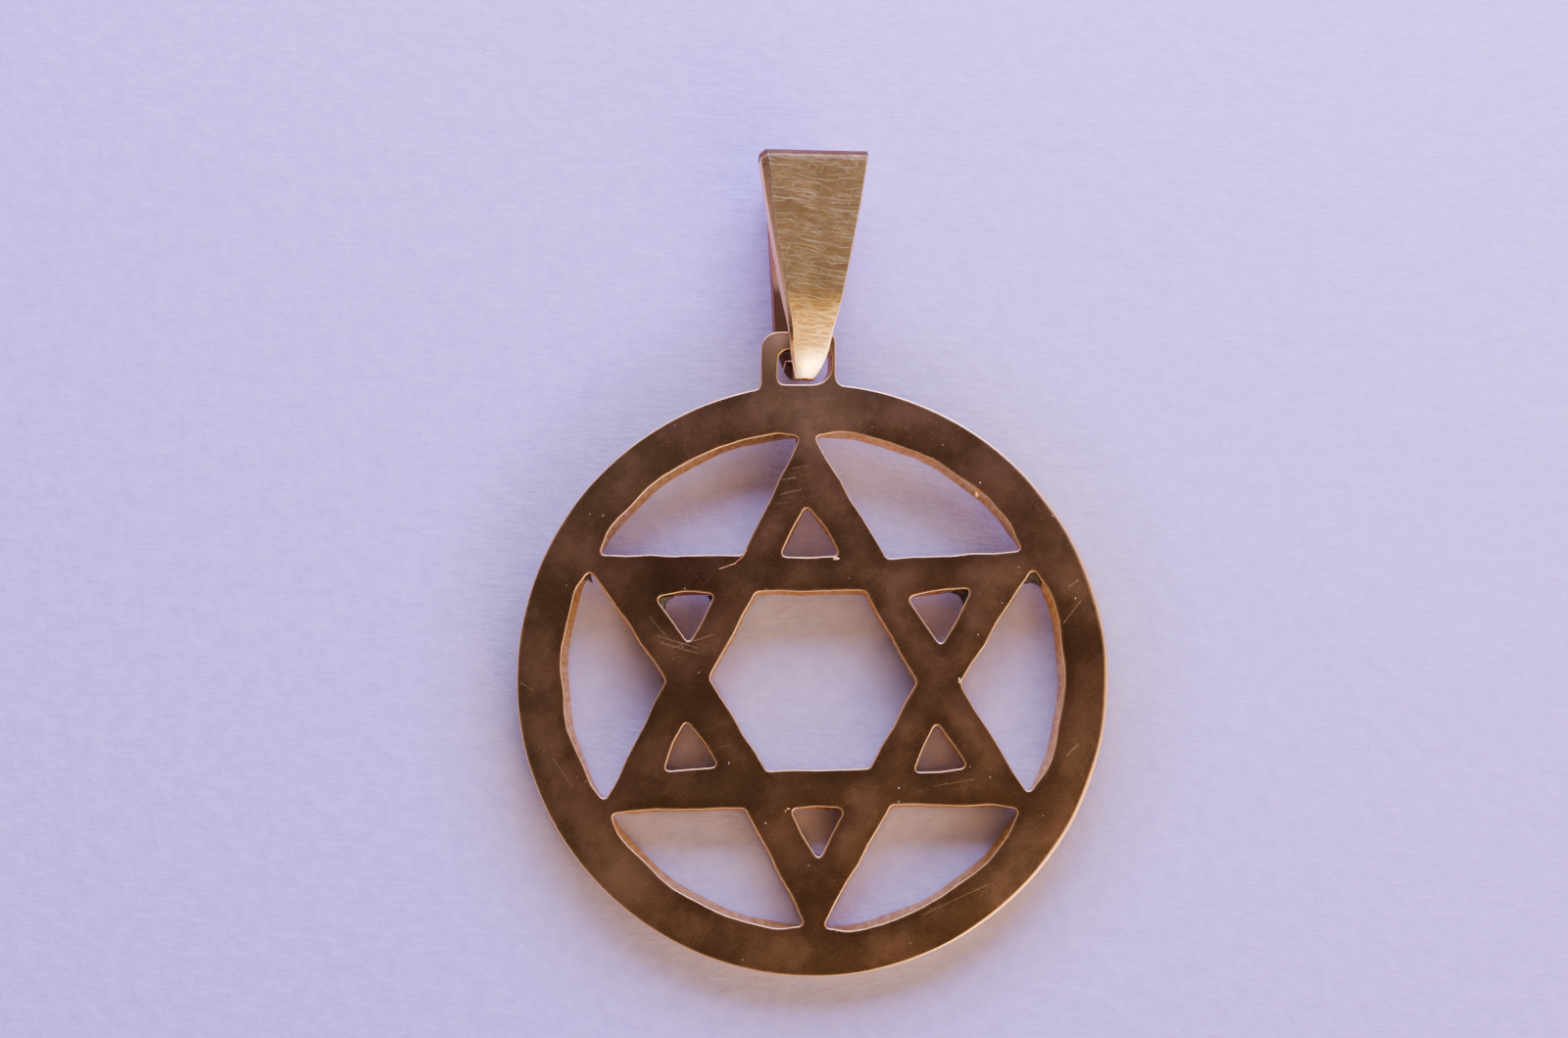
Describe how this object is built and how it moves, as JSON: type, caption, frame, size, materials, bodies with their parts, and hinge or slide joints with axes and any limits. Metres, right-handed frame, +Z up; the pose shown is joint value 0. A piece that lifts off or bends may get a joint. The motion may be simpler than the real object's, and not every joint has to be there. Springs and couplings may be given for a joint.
{
  "type": "star of david pendant",
  "caption": "Hexagram star inside a ring, sawn out of one round gold plate and hung on a folded strip bail that swings in the ear of the plate.",
  "frame": {"origin": "on the ground under the middle of the pendant, disc and bail taken together", "axes": "+Y from the foot of the disc to the top of the bail, +X to the right seen from the front, +Z up out of the front face"},
  "size_m": [0.025, 0.035, 0.0039],
  "materials": {
    "disc_gold": "worn and tarnished gold alloy, satin, finely scratched, with bright sawn edges",
    "bail_gold": "gold alloy strip, brushed across, with a polished foot"
  },
  "bodies": {
    "pendant": {"disc": "disc_gold"},
    "loop": {"bail": "bail_gold"}
  },
  "joints": [
    {"name": "bail_swing", "type": "hinge", "parent": "pendant", "child": "loop", "pos_m": [-0.00041, 0.00934, 0.00176], "axis": [0.9659, -0.0081, -0.2588], "range_deg": [-70, 70]}
  ]
}
